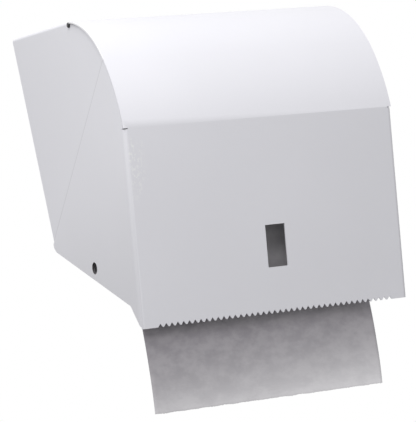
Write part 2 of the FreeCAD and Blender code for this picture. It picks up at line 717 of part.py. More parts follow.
outline(rivet_side, [
    (hub_nose + " - rivet_head", "0"),
    (hub_nose + " - rivet_head", "rivet_head_radius"),
    (hub_nose, "rivet_head_radius"),
    (hub_nose, "rivet_radius"),
    ("arm_inner + arm_sheet", "rivet_radius"),
    ("arm_inner + arm_sheet", "rivet_head_radius"),
    ("arm_inner + arm_sheet + rivet_head", "rivet_head_radius"),
    ("arm_inner + arm_sheet + rivet_head", "0"),
])
turned(hub_rivet, rivet_side)
for body in (roll_hub_left, roll_hub_right, hub_rivet):
    tie(body, "Placement.Base.y", "-roll_depth")
    tie(body, "Placement.Base.z", "roll_height - screw_centre_height")

# Sprung arm: plate with a round nose and two curls round the pivot pin
roll_arm = new_body("roll_arm_right")
arm_side = new_sketch(roll_arm, "arm_side", "YZ_Plane", "arm_inner")
waist = "arm_nose_radius * arm_waist_share"
outline(arm_side, [
    ("-pin_depth", "arm_low"),
    ("-pin_depth", "arm_high"),
    ("-pin_depth - knuckle_radius", "arm_high"),
    ("-roll_depth + " + waist, "roll_height + arm_nose_radius"),
    ("-roll_depth", "roll_height + arm_nose_radius"),
    ("-roll_depth - arm_nose_radius", "roll_height"),
    ("-roll_depth", "roll_height - arm_nose_radius"),
    ("-roll_depth + " + waist, "roll_height - arm_nose_radius"),
    ("-pin_depth - knuckle_radius", "arm_low"),
], {4: ("arm_nose_radius", "left"), 5: ("arm_nose_radius", "left")})
pad(roll_arm, arm_side, "arm_sheet")
arm_curl = new_sketch(roll_arm, "arm_curl", "XY_Plane", "arm_low")
ring(arm_curl, "pin_x", "-pin_depth", "knuckle_radius")
pad(roll_arm, arm_curl, "arm_height")
arm_bore = new_sketch(roll_arm, "arm_bore", "XY_Plane", "arm_low - pin_head")
ring(arm_bore, "pin_x", "-pin_depth", "pin_bore")
pocket(roll_arm, arm_bore, "arm_height + cut_overrun", backwards=True)
arm_gap = new_sketch(roll_arm, "arm_gap", "YZ_Plane", "arm_inner - arm_sheet")
outline(arm_gap, [
    ("-pin_depth + cut_overrun", "arm_low + knuckle_length"),
    ("-pin_depth + cut_overrun", "arm_high - knuckle_length"),
    ("-pin_depth - knuckle_radius - spring_gap", "arm_high - knuckle_length"),
    ("-pin_depth - knuckle_radius - spring_gap", "arm_low + knuckle_length"),
])
pocket(roll_arm, arm_gap, "cut_overrun", backwards=True)
rivet_hole = new_sketch(roll_arm, "arm_rivet_hole", "YZ_Plane", "arm_inner - arm_sheet")
ring(rivet_hole, "-roll_depth", "roll_height", "rivet_radius")
pocket(roll_arm, rivet_hole, "cut_overrun", backwards=True)

# Bracket of the arm: a plate on the case's back with an ear above and below the curls, and its two
# rivets, whose shanks end flush with the case's back
arm_bracket = new_body("arm_bracket")
bracket_side = new_sketch(arm_bracket, "bracket_side", "YZ_Plane", "pin_x - knuckle_radius")
bracket_low = "arm_low - bracket_end_gap - bracket_sheet"
bracket_high = "arm_high + bracket_end_gap + bracket_sheet"
bracket_nose = "-pin_depth - knuckle_radius"
rivet_land = "2 * bracket_rivet_inset"
outline(bracket_side, [
    ("-sheet_wall", bracket_low + " - " + rivet_land),
    ("-sheet_wall", bracket_high + " + " + rivet_land),
    ("-sheet_wall - bracket_sheet", bracket_high + " + " + rivet_land),
    ("-sheet_wall - bracket_sheet", bracket_high),
    (bracket_nose, bracket_high),
    (bracket_nose, "arm_high + bracket_end_gap"),
    ("-sheet_wall - bracket_sheet", "arm_high + bracket_end_gap"),
    ("-sheet_wall - bracket_sheet", "arm_low - bracket_end_gap"),
    (bracket_nose, "arm_low - bracket_end_gap"),
    (bracket_nose, bracket_low),
    ("-sheet_wall - bracket_sheet", bracket_low),
    ("-sheet_wall - bracket_sheet", bracket_low + " - " + rivet_land),
])
pad(arm_bracket, bracket_side, "bracket_width")
bracket_bore = new_sketch(arm_bracket, "bracket_bore", "XY_Plane", bracket_low + " - pin_head")
ring(bracket_bore, "pin_x", "-pin_depth", "pin_diameter / 2")
pocket(arm_bracket, bracket_bore, "arm_height + 2 * cut_overrun", backwards=True)
for word, height in (("low", bracket_low + " - bracket_rivet_inset"),
                     ("high", bracket_high + " + bracket_rivet_inset")):
    shank = new_sketch(arm_bracket, "shank_" + word, "XZ_Plane")
    ring(shank, "pin_x", height, "bracket_rivet_radius")
    pad(arm_bracket, shank, "sheet_wall + bracket_sheet")
    head = new_sketch(arm_bracket, "head_" + word, "XZ_Plane", "sheet_wall + bracket_sheet")
    ring(head, "pin_x", height, "bracket_rivet_head_radius")
    pad(arm_bracket, head, "bracket_rivet_head")
    case_rivet_hole = new_sketch(rear_case, "case_rivet_hole_" + word, "XZ_Plane")
    ring(case_rivet_hole, "pin_x", height, "bracket_rivet_radius")
    pocket(rear_case, case_rivet_hole, "2 * cut_overrun", True)

# Pivot pin with a head above the upper ear
pivot_pin = new_body("arm_pivot_pin")
pin_round = new_sketch(pivot_pin, "pin_round", "XY_Plane", bracket_low + " - pin_head")
ring(pin_round, "pin_x", "-pin_depth", "pin_diameter / 2")
pad(pivot_pin, pin_round, bracket_high + " + pin_head - (" + bracket_low + ")")
pin_top = new_sketch(pivot_pin, "pin_top", "XY_Plane", bracket_high)
ring(pin_top, "pin_x", "-pin_depth", "pin_head_radius")
pad(pivot_pin, pin_top, "pin_head")

# Torsion spring round the pin, between the curls
arm_spring = new_body("arm_spring")
coil = new_sketch(arm_spring, "coil", "XY_Plane", "arm_low + knuckle_length + spring_end_gap")
ring(coil, "pin_x", "-pin_depth", "pin_diameter / 2 + spring_gap + spring_wire")
pad(arm_spring, coil, "arm_height - 2 * knuckle_length - 2 * spring_end_gap")
coil_bore = new_sketch(arm_spring, "coil_bore", "XY_Plane", "arm_low")
ring(coil_bore, "pin_x", "-pin_depth", "pin_diameter / 2 + spring_gap")
pocket(arm_spring, coil_bore, "arm_height", backwards=True)

# Roll: a cardboard core and the paper wound on it
roll_core = new_body("roll_core")
core_side = new_sketch(roll_core, "core_side", "XY_Plane")
outline(core_side, [
    ("roll_left", "core_radius - core_wall"),
    ("roll_right", "core_radius - core_wall"),
    ("roll_right", "core_radius"),
    ("roll_left", "core_radius"),
])
turned(roll_core, core_side)
paper_roll = new_body("paper_roll")
roll_side = new_sketch(paper_roll, "roll_side", "XY_Plane")
outline(roll_side, [
    ("roll_left", "core_radius + core_gap"),
    ("roll_right", "core_radius + core_gap"),
    ("roll_right", "roll_radius"),
    ("roll_left", "roll_radius"),
])
turned(paper_roll, roll_side)
for body in (roll_core, paper_roll):
    tie(body, "Placement.Base.y", "-roll_depth")
    tie(body, "Placement.Base.z", "roll_height - screw_centre_height")

# Paper that leaves the roll's front, runs down behind the front panel, hangs out and curls back
paper_tail = new_body("paper_tail")
tail_side = new_sketch(paper_tail, "tail_side", "YZ_Plane", "roll_left")


def along_web(along, forward):
    """a place on the straight paper above the tear edge"""
    return ("exit_y - (" + along + ") * cos(web_angle) - (" + forward + ") * sin(web_angle)",
            "exit_z + (" + along + ") * sin(web_angle) - (" + forward + ") * cos(web_angle)")


def tail_end(forward):
    """a place at the torn lower edge"""
    radius = "(tail_radius + " + forward + ")"
    swing = radius + " * (sin(web_angle) - sin(tail_angle))"
    drop = radius + " * (cos(tail_angle) - cos(web_angle))"
    across, up = along_web("0", forward)
    return across + " + " + swing, up + " - " + drop


outline(tail_side, [
    along_web("web_length", "paper_sheet"),
    along_web("0", "paper_sheet"),
    tail_end("paper_sheet"),
    tail_end("0"),
    along_web("0", "0"),
    along_web("web_length", "0"),
], {1: ("tail_radius + paper_sheet", "left"), 3: ("tail_radius", "right")})
pad(paper_tail, tail_side, "roll_width")

# Push-pin latches: a hat bracket, a pin with a collar and a spring behind it, on each cheek
for word, side in (("left", "-"), ("right", "")):
    latch_bracket = new_body("latch_bracket_" + word)
    hat = new_sketch(latch_bracket, "hat_" + word, "XY_Plane")
    rim, inside = "latch_half_span + sheet_wall", "latch_half_span"
    top, roof = "latch_far", "latch_far + sheet_wall"
    foot = "case_inner - sheet_wall"
    hat_corners = [
        ("case_inner", rim + " + latch_foot"), (foot, rim + " + latch_foot"), (foot, rim), (top, rim),
        (top, "-" + rim.replace("+", "-")), (foot, "-" + rim.replace("+", "-")),
        (foot, "-latch_half_span - sheet_wall - latch_foot"),
        ("case_inner", "-latch_half_span - sheet_wall - latch_foot"),
        ("case_inner", "-" + inside), (roof, "-" + inside), (roof, inside), ("case_inner", inside),
    ]
    outline(hat, [(side + "(" + across + ")", up) for across, up in hat_corners])
    pad(latch_bracket, hat, "latch_strip", True)
    hat_bore = new_sketch(latch_bracket, "hat_bore_" + word, "YZ_Plane")
    ring(hat_bore, "0", "0", "latch_tail_radius + latch_clearance")
    pocket(latch_bracket, hat_bore, "2 * (case_inner - sheet_wall)", True)

    latch_plunger = new_body("latch_plunger_" + word)
    nose = "case_half - latch_sink"
    pin_side = new_sketch(latch_plunger, "pin_side_" + word, "XY_Plane")
    pin_corners = [
        (nose, "0"), (nose, "latch_pin_radius"),
        ("latch_stop", "latch_pin_radius"), ("latch_stop", "latch_collar_radius"),
        ("latch_stop - latch_collar", "latch_collar_radius"),
        ("latch_stop - latch_collar", "latch_tail_radius"),
        ("latch_far - latch_tail_over", "latch_tail_radius"), ("latch_far - latch_tail_over", "0"),
    ]
    outline(pin_side, [(side + "(" + across + ")", up) for across, up in pin_corners])
    turned(latch_plunger, pin_side)

    latch_spring = new_body("latch_spring_" + word)
    spring_side = new_sketch(latch_spring, "spring_side_" + word, "XY_Plane")
    spring_corners = [
        ("latch_far + sheet_wall", "latch_spring_radius"),
        ("latch_far + sheet_wall", "latch_spring_radius - latch_spring_wall"),
        ("latch_stop - latch_collar", "latch_spring_radius - latch_spring_wall"),
        ("latch_stop - latch_collar", "latch_spring_radius"),
    ]
    outline(spring_side, [(side + "(" + across + ")", up) for across, up in spring_corners])
    turned(latch_spring, spring_side)
    for body in (latch_bracket, latch_plunger, latch_spring):
        body.Placement.Rotation = FreeCAD.Rotation(FreeCAD.Vector(1, 0, 0), value("under_angle"))
        tie(body, "Placement.Rotation.Angle", "under_angle")
        tie(body, "Placement.Base.y", "-latch_depth")
        tie(body, "Placement.Base.z", "-latch_drop - screw_centre_height")

doc.recompute()
for thing in doc.Objects:
    if "Invalid" in thing.State or "Error" in thing.State:
        raise ValueError(thing.Name + " could not be made")
bodies = [thing for thing in doc.Objects if thing.TypeId == "PartDesign::Body"]
for body in bodies:
    if body.Shape.isNull() or not body.Shape.isValid():
        raise ValueError(body.Label + " is not a sound solid")

os.makedirs("parts", exist_ok=True)
for body in bodies:
    body.Shape.exportStep(os.path.join("parts", body.Label + ".step"))
    print(body.Label, len(body.Shape.Solids), "solid", round(body.Shape.Volume))
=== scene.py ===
import math
import random

import bmesh
import bpy
from mathutils import Matrix, Vector, noise


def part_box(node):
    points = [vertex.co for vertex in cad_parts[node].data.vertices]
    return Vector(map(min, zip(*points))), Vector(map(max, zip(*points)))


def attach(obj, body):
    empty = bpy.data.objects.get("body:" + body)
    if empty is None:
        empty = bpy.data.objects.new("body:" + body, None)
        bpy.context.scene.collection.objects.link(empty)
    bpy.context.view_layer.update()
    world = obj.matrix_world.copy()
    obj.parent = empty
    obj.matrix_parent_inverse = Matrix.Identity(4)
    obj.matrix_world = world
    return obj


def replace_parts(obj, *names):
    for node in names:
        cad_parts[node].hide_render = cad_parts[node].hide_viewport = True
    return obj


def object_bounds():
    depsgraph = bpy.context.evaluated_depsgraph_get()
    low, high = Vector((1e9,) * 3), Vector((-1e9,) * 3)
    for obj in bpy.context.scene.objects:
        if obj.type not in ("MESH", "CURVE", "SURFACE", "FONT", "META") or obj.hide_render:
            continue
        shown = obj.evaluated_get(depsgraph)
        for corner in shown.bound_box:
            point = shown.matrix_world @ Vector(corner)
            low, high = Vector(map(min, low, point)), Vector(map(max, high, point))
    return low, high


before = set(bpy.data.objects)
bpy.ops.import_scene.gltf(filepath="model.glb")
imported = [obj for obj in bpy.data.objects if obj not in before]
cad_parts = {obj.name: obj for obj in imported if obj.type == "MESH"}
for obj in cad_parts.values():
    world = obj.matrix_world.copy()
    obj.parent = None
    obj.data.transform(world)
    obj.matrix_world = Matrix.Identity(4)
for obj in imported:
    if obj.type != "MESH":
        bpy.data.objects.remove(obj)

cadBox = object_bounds()
random.seed(7)
mm = 0.001


# low and to the left of the dispenser, as the photograph was taken; angles in degrees
cameraSettings = {
    "place": (-0.89616, -1.81555, -0.57216),
    "yaw": 26.993,
    "pitch": 13.699,
    "roll": -12.636,
    "lens": 215.315,
    "sensor": 36.0,
    "nearest": 0.1,
    "furthest": 60.0,
}


def placeCamera(s):
    yaw, pitch, roll = (math.radians(s[key]) for key in ("yaw", "pitch", "roll"))
    forward = Vector((math.sin(yaw) * math.cos(pitch), math.cos(yaw) * math.cos(pitch), math.sin(pitch)))
    level = forward.cross(Vector((0, 0, 1))).normalized()
    steep = level.cross(forward)
    right = math.cos(roll) * level + math.sin(roll) * steep
    up = math.cos(roll) * steep - math.sin(roll) * level
    data = bpy.data.cameras.new("camera")
    data.sensor_fit = "HORIZONTAL"
    data.sensor_width = s["sensor"]
    data.lens = s["lens"]
    data.clip_start, data.clip_end = s["nearest"], s["furthest"]
    camera = bpy.data.objects.new("camera", data)
    turn = Matrix((right, up, -forward)).transposed().to_4x4()
    camera.matrix_world = Matrix.Translation(s["place"]) @ turn
    bpy.context.scene.collection.objects.link(camera)
    bpy.context.scene.camera = camera


placeCamera(cameraSettings)
print("camera placed")


class Wire:  # one socket of a shader, which sums and masks are written with
    def __init__(self, paint, socket):
        self.paint = paint
        self.socket = socket

    def __add__(self, other):
        return self.paint.sum("ADD", self, other)

    def __radd__(self, other):
        return self.paint.sum("ADD", other, self)

    def __sub__(self, other):
        return self.paint.sum("SUBTRACT", self, other)

    def __rsub__(self, other):
        return self.paint.sum("SUBTRACT", other, self)

    def __mul__(self, other):
        return self.paint.sum("MULTIPLY", self, other)

    def __rmul__(self, other):
        return self.paint.sum("MULTIPLY", other, self)

    def __pow__(self, other):
        return self.paint.sum("POWER", self, other)

    def __abs__(self):
        return self.paint.sum("ABSOLUTE", self, 0.0)

    def between(self, low, high):  # 0 below low, 1 above high
        return self.paint.add("ShaderNodeMapRange", {"interpolation_type": "SMOOTHSTEP"},
                              {"Value": self, "From Min": low, "From Max": high})


class Paint:  # the nodes of one finish
    def __init__(self, name, tree=None):
        if tree is None:
            self.material = bpy.data.materials.new(name)
            self.material.use_nodes = True
            tree = self.material.node_tree
        self.tree = tree
        self.tree.nodes.clear()

    def add(self, kind, settings=None, values=None, output=0):
        node = self.tree.nodes.new(kind)
        for key, setting in (settings or {}).items():
            setattr(node, key, setting)
        for key, value in (values or {}).items():
            if isinstance(value, Wire):
                self.tree.links.new(value.socket, node.inputs[key])
            else:
                node.inputs[key].default_value = value
        return Wire(self, node.outputs[output] if len(node.outputs) else None)

    def place(self, stretch=(1, 1, 1)):  # position in metres, stretched for a pattern
        spot = self.add("ShaderNodeTexCoord", output="Object")
        return self.add("ShaderNodeMapping", {}, {"Vector": spot, "Scale": stretch})

    def axes(self):
        spot = self.add("ShaderNodeTexCoord", output="Object")
        split = self.add("ShaderNodeSeparateXYZ", {}, {0: spot})
        return [Wire(self, socket) for socket in split.socket.node.outputs]

    def speckle(self, scale, detail=2.0, stretch=(1, 1, 1), roughness=0.5):
        return self.add("ShaderNodeTexNoise", {},
                        {"Vector": self.place(stretch), "Scale": scale, "Detail": detail,
                         "Roughness": roughness})

    def mark(self, name):  # a value stored on the mesh
        return self.add("ShaderNodeAttribute", {"attribute_name": name}, output="Fac")

    def blend(self, mask, first, second):
        return self.add("ShaderNodeMix", {"data_type": "RGBA"}, {0: mask, 6: first, 7: second}, 2)

    def dimmed(self, colour, share):
        return self.add("ShaderNodeMix", {"data_type": "RGBA", "blend_type": "MULTIPLY"},
                        {0: 1.0, 6: colour, 7: grey(share)}, 2)

    def sum(self, operation, first, second):
        return self.add("ShaderNodeMath", {"operation": operation}, {0: first, 1: second})

    def bump(self, height, depth, strength=1.0, under=None):  # depth in millimetres
        values = {"Height": height, "Distance": depth * mm, "Strength": strength}
        if under:
            values["Normal"] = under
        return self.add("ShaderNodeBump", {}, values)

    def finish(self, values):
        shader = self.add("ShaderNodeBsdfPrincipled", {}, values)
        self.add("ShaderNodeOutputMaterial", {}, {"Surface": shader})
        return self.material


def grey(level):
    return (level, level, level, 1)


def toned(colour, share, lift=0.0):  # a colour made lighter or darker
    return tuple(min(1.0, share * part + lift) for part in colour[:3]) + (1,)


def fromLine(y, z, place):  # how far a point is from a line along X, given in millimetres
    return ((y - place[0] * mm) ** 2.0 + (z - place[1] * mm) ** 2.0) ** 0.5


# seam and bore are (y, z) in millimetres, across is the direction square to the seam, and limits along
# an axis or away from a line are in metres
coat = {
    "colour": (0.845, 0.842, 0.890, 1), "roughness": 0.42, "specular": 0.42,
    "drift": 7.0, "driftRange": (0.3, 0.7), "driftTone": 0.975, "driftRoughness": 0.05,
    "peel": 620.0, "peelDepth": 0.05, "peelStrength": 0.55,
    "grain": 2600.0, "grainDepth": 0.012, "grainStrength": 0.5, "grainRoughness": 0.12,
    "edge": (0.89, 0.885, 0.92, 1), "edgeShare": 0.7, "edgePolish": 0.06,
    "cheek": (0.1150, 0.1156), "lowShade": 0.875, "lowShadeFrom": (-0.185, -0.05),
    "seam": (-3.3, -91.5), "across": (0.5045, 0.8634),
    "rim": (0.970, 0.965, 0.985, 1), "rimSide": (0.1168, 0.1172), "rimPast": (0.0001, 0.0006),
    "paleFleck": (0.935, 0.94, 0.95, 1), "paleFleckShare": 0.8, "paleFleckInner": (-0.1125, -0.0985),
    "paleFleckLower": (-0.113, -0.090), "paleFleckUpper": (-0.067, -0.058),
    "fleck": 430.0, "fleckStretch": (1, 1, 0.6), "fleckRoughness": 0.65, "fleckRange": (0.5, 0.6),
    "seamShade": 0.86, "seamShadeInner": (0.0010, 0.0022), "seamShadeOuter": (0.0032, 0.0046),
    "seamShadeScale": 90.0, "seamShadeRange": (0.1, 0.5),
    "bore": (-73.706, -132.904), "boreEdge": (0.00475, 0.00485), "shadedBareSteel": (0.085, 0.075, 0.078, 1),
}


def makeCoat(name, s, seamShaded=False):  # light powder coat with orange peel
    p = Paint(name)
    x, y, z = p.axes()
    drift = p.speckle(s["drift"], 3.0).between(*s["driftRange"])
    peel = p.speckle(s["peel"], 2.0)
    grain = p.speckle(s["grain"], 1.0)
    edge = p.mark("edge")
    colour = p.blend(drift, toned(s["colour"], s["driftTone"]), s["colour"])
    # lighter bevelled edges: partly wear of the coat, partly a painted highlight where rounded edges
    # catch the light
    colour = p.blend(edge * s["edgeShare"], colour, s["edge"])
    cheek = abs(x).between(*s["cheek"])
    litShare = z.between(*s["lowShadeFrom"]) * cheek + (1.0 - cheek)  # painted shade: the cheeks are darker lower down
    colour = p.blend(litShare, p.dimmed(colour, s["lowShade"]), colour)
    off = (y - s["seam"][0] * mm) * s["across"][0] + (z - s["seam"][1] * mm) * s["across"][1]
    if seamShaded:  # painted shade: a dark line on the cheek just behind the cover's edge
        line = off.between(*s["seamShadeInner"]) * (1.0 - off.between(*s["seamShadeOuter"]))
        line = line * p.speckle(s["seamShadeScale"]).between(*s["seamShadeRange"]) * cheek
        colour = p.blend(line, colour, toned(s["colour"], s["seamShade"]))
    else:  # painted highlight along the cut edge of the curve, and lighter flecks down the front's left side
        rim = off.between(*s["rimPast"]) * abs(x).between(*s["rimSide"])
        colour = p.blend(rim, colour, s["rim"])
        flecks = p.speckle(s["fleck"], 4.0, s["fleckStretch"], s["fleckRoughness"])
        flecks = flecks.between(*s["fleckRange"]) * (1.0 - x.between(*s["paleFleckInner"])) * (1.0 - cheek)
        flecks = flecks * z.between(*s["paleFleckLower"]) * (1.0 - z.between(*s["paleFleckUpper"]))
        colour = p.blend(flecks * s["paleFleckShare"], colour, s["paleFleck"])
    bored = fromLine(y, z, s["bore"]).between(*s["boreEdge"])
    colour = p.blend(bored, s["shadedBareSteel"], colour)  # cut edges of the latch hole: bare steel, painted dark as shade inside the hole
    rough = (grain - 0.5) * s["grainRoughness"] + (drift * s["driftRoughness"] + s["roughness"])
    rough = rough - edge * s["edgePolish"]
    under = p.bump(peel, s["peelDepth"], s["peelStrength"])
    normal = p.bump(grain, s["grainDepth"], s["grainStrength"], under)
    return p.finish({"Base Color": colour, "Roughness": rough, "Normal": normal,
                     "Specular IOR Level": s["specular"]})


steel = {"lines": 260.0, "lineDepth": 0.02, "lineStrength": 0.4, "lineRoughness": 0.18,
         "clouds": 60.0, "cloudRange": (0.35, 0.7), "cloudRoughness": 0.06, "metal": 0.92,
         "edgeTone": 1.15, "edgeShare": 0.5}


def makeSteel(name, s, colour, dark, roughness, stretch=(1, 1, 1)):  # drawn or plated steel
    p = Paint(name)
    lines = p.speckle(s["lines"], 3.0, stretch)
    cloud = p.speckle(s["clouds"], 4.0).between(*s["cloudRange"])
    tone = p.blend(cloud, (*dark, 1), (*colour, 1))
    tone = p.blend(p.mark("edge") * s["edgeShare"], tone, toned(colour, s["edgeTone"]))
    rough = (lines - 0.5) * s["lineRoughness"] + roughness + cloud * s["cloudRoughness"]
    return p.finish({"Base Color": tone, "Roughness": rough, "Metallic": s["metal"],
                     "Normal": p.bump(lines, s["lineDepth"], s["lineStrength"])})


moulded = {"grain": 1500.0, "grainStrength": 0.5, "grainRoughness": 0.2,
           "haze": 40.0, "hazeRange": (0.3, 0.75), "hazeTone": 1.35, "hazeLift": 0.004,
           "edgeTone": 2.0, "edgeLift": 0.01, "edgeShare": 0.5}


def makeMoulded(name, s, colour, roughness, depth):  # matt plastic, rubber or enamel
    p = Paint(name)
    grain = p.speckle(s["grain"], 2.0)
    haze = p.speckle(s["haze"], 3.0).between(*s["hazeRange"])
    tone = p.blend(haze, (*colour, 1), toned(colour, s["hazeTone"], s["hazeLift"]))
    tone = p.blend(p.mark("edge") * s["edgeShare"], tone, toned(colour, s["edgeTone"], s["edgeLift"]))
    return p.finish({"Base Color": tone, "Roughness": (grain - 0.5) * s["grainRoughness"] + roughness,
                     "Normal": p.bump(grain, depth, s["grainStrength"])})


board = {"dark": (0.30, 0.235, 0.165, 1), "light": (0.42, 0.345, 0.26, 1),
         "groove": (0.17, 0.13, 0.09, 1), "roughness": 0.92,
         "fibre": 420.0, "fibreDepth": 0.05, "fibreStrength": 0.6,
         "seam": 7.0, "seamSlant": (1, 0.35, 0.35), "seamWander": 0.4, "seamRange": (0.0, 0.06),
         "seamDepth": 0.1, "seamStrength": 0.5}


def makeBoard(name, s):  # wound grey-brown board with its spiral seam
    p = Paint(name)
    fibre = p.speckle(s["fibre"], 4.0)
    seam = p.add("ShaderNodeTexWave", {"wave_type": "BANDS", "bands_direction": "X"},
                 {"Vector": p.place(s["seamSlant"]), "Scale": s["seam"], "Distortion": s["seamWander"]})
    groove = seam.between(*s["seamRange"])
    tone = p.blend(groove, s["groove"], p.blend(fibre, s["dark"], s["light"]))
    under = p.bump(groove, s["seamDepth"], s["seamStrength"])
    return p.finish({"Base Color": tone, "Roughness": s["roughness"],
                     "Normal": p.bump(fibre, s["fibreDepth"], s["fibreStrength"], under)})


paper = {
    "light": (0.97, 0.955, 0.98, 1), "shade": (0.895, 0.88, 0.907, 1),
    "under": (0.285, 0.27, 0.294, 1), "underLight": (0.36, 0.342, 0.366, 1), "hangPower": 2.2,
    "crepe": 520.0, "crepeStretch": (0.35, 1, 1.6), "crepeShare": 0.5, "depth": 0.2, "strength": 0.6,
    "fleck": 230.0, "fleckStretch": (0.8, 1, 1), "fleckRoughness": 0.6, "fleckShare": 0.4,
    "mottle": 78.0, "mottleStretch": (0.8, 1, 1.15), "mottleRoughness": 0.45, "mottleShare": 0.6,
    "patches": (0.36, 0.64), "cloud": 28.0, "cloudRange": (0.3, 0.7), "cloudShare": 0.35,
    "roughness": 0.95, "specular": 0.15,
    "axis": (-86.0, -21.0), "rollEdge": (0.0441, 0.0446),
    "layers": 9000.0, "layerWander": 9.0, "layerRange": (0.2, 1.0), "layerTone": 0.45, "layerShare": 0.25,
}


def makePaper(name, s, wound=False):  # soft creped towel
    p = Paint(name)
    crepe = p.speckle(s["crepe"], 3.0, s["crepeStretch"])
    fleck = p.speckle(s["fleck"], 3.0, s["fleckStretch"], s["fleckRoughness"])
    mottle = p.speckle(s["mottle"], 3.0, s["mottleStretch"], s["mottleRoughness"])
    cloud = p.speckle(s["cloud"], 3.0)
    patchy = (mottle * s["mottleShare"] + fleck * s["fleckShare"]).between(*s["patches"])
    tone = p.blend(patchy, s["shade"], s["light"])
    tone = p.blend(cloud.between(*s["cloudRange"]) * s["cloudShare"], tone, s["light"])
    if wound:  # the roll's ends show its layers
        x, y, z = p.axes()
        out = fromLine(y, z, s["axis"])
        layer = p.sum("SINE", out * s["layers"] + cloud * s["layerWander"], 0.0).between(*s["layerRange"])
        ends = 1.0 - out.between(*s["rollEdge"])
        tone = p.blend(layer * ends * s["layerShare"], tone, grey(s["layerTone"]))
    else:  # greyer where the cover shades it
        under = p.blend(patchy, s["under"], s["underLight"])
        tone = p.blend(p.mark("hang") ** s["hangPower"], under, tone)
    normal = p.bump(crepe * s["crepeShare"] + mottle, s["depth"], s["strength"])
    return p.finish({"Base Color": tone, "Roughness": s["roughness"], "Normal": normal,
                     "Specular IOR Level": s["specular"]})


finishes = {
    "grey_coat": makeCoat("powder_coat", coat),
    "seam_shaded_coat": makeCoat("casing_coat", coat, True),
    "black_steel": makeMoulded("black_enamel", moulded, (0.022, 0.022, 0.024), 0.38, 0.01),
    "zinc": makeSteel("zinc_plate", steel, (0.60, 0.61, 0.63), (0.50, 0.505, 0.52), 0.36),
    "bright_steel": makeSteel("bright_pin_steel", steel, (0.62, 0.60, 0.59), (0.45, 0.43, 0.42), 0.24,
                              (0.1, 1, 1)),
    "spring_steel": makeSteel("spring_wire", steel, (0.36, 0.36, 0.37), (0.24, 0.24, 0.25), 0.3),
    "dark_plastic": makeMoulded("moulded_hub", moulded, (0.045, 0.046, 0.05), 0.5, 0.03),
    "black_rubber": makeMoulded("buffer_rubber", moulded, (0.02, 0.02, 0.02), 0.8, 0.04),
    "grey_board": makeBoard("core_board", board),
    "towel_paper": makePaper("towel_sheet", paper),
    "rolled_paper": makePaper("towel_roll", paper, True),
}
print("finishes made")


def newPiece(name, body, form, finish, smooth=32.0):  # edges sharper than smooth stay sharp
    mesh = bpy.data.meshes.new(name)
    form.to_mesh(mesh)
    form.free()
    mesh.shade_smooth()
    mesh.set_sharp_from_angle(angle=math.radians(smooth))
    mesh.materials.append(finishes[finish])
    piece = bpy.data.objects.new(name, mesh)
    bpy.context.scene.collection.objects.link(piece)
    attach(piece, body)
    return piece


def evenShading(piece):
    weighted = piece.modifiers.new("even_shading", "WEIGHTED_NORMAL")
    weighted.keep_sharp = True
    weighted.weight = 100


def turnedRound(form, centre, steps, joined=0.002):  # a profile spun about a line along X
    bmesh.ops.spin(form, geom=form.verts[:] + form.edges[:], cent=centre, axis=(1, 0, 0),
                   angle=2 * math.pi, steps=steps, use_merge=True, use_duplicate=False)
    bmesh.ops.remove_doubles(form, verts=form.verts, dist=joined * mm)
    bmesh.ops.recalc_face_normals(form, faces=form.faces)


easing = {"merged": 0.0005, "flatWithin": 0.4, "sharpFrom": 38.0, "segments": 2}
easedNodes = {  # node: piece, body, slot, edge radius in millimetres, finish if not the slot's
    "front_cover": ("cover_sheet", "cover", "grey_coat", 0.5),
    "rear_case": ("casing_sheet", "case", "grey_coat", 0.3, "seam_shaded_coat"),
    "case_floor": ("floor_sheet", "case", "grey_coat", 0.25),
    "roll_hub_left": ("hub_cup", "case", "zinc", 0.3),
    "arm_bracket": ("arm_hanger", "case", "zinc", 0.25),
    "arm_pivot_pin": ("arm_axle", "case", "bright_steel", 0.3),
    "roll_arm_right": ("roll_arm", "arm", "zinc", 0.25),
    "roll_hub_right": ("hub_moulding", "arm", "dark_plastic", 0.25),
    "hub_rivet_right": ("hub_rivet", "arm", "bright_steel", 0.6),
    "buffer_left": ("cover_buffer_left", "case", "black_rubber", 0.5),
    "buffer_right": ("cover_buffer_right", "case", "black_rubber", 0.5),
    "latch_bracket_left": ("latch_hat_left", "case", "zinc", 0.2),
    "latch_bracket_right": ("latch_hat_right", "case", "zinc", 0.2),
    "latch_plunger_left": ("latch_pin_nose_left", "latch_pin_left", "black_steel", 0.35),
    "latch_plunger_right": ("latch_pin_nose_right", "latch_pin_right", "black_steel", 0.35),
    "roll_core": ("board_tube", "roll", "grey_board", 0.2),
}


def makeEased(s, node, name, body, slot, width, finish=None):  # a solid with its edges eased
    form = bmesh.new()
    form.from_mesh(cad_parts[node].data)
    bmesh.ops.remove_doubles(form, verts=form.verts, dist=s["merged"] * mm)
    bmesh.ops.dissolve_limit(form, angle_limit=math.radians(s["flatWithin"]), verts=form.verts,
                             edges=form.edges)
    sharpFrom = math.radians(s["sharpFrom"])
    edges = [edge for edge in form.edges if edge.is_manifold and edge.calc_face_angle(0) > sharpFrom]
    mark = form.faces.layers.float.new("edge")
    made = bmesh.ops.bevel(form, geom=edges, offset=width * mm, offset_type="OFFSET",
                           segments=s["segments"], profile=0.5, affect="EDGES", clamp_overlap=True,
                           material=-1)
    for face in made["faces"]:
        face[mark] = 1.0
    piece = newPiece(name, body, form, finish or slot)
    evenShading(piece)
    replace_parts(piece, node)


for node, settings in easedNodes.items():
    makeEased(easing, node, *settings)
print("sheet metal and small parts eased")


# place is (y, z) in metres, the rest in millimetres
rod = {"place": (-0.118605, 0.054599), "radius": 1.5, "neck": 115.85, "end": 117.35, "head": 2.1,
       "crown": ((0.7, 1.0), (0.21, 0.85), (0.0, 0.45)), "steps": 40}


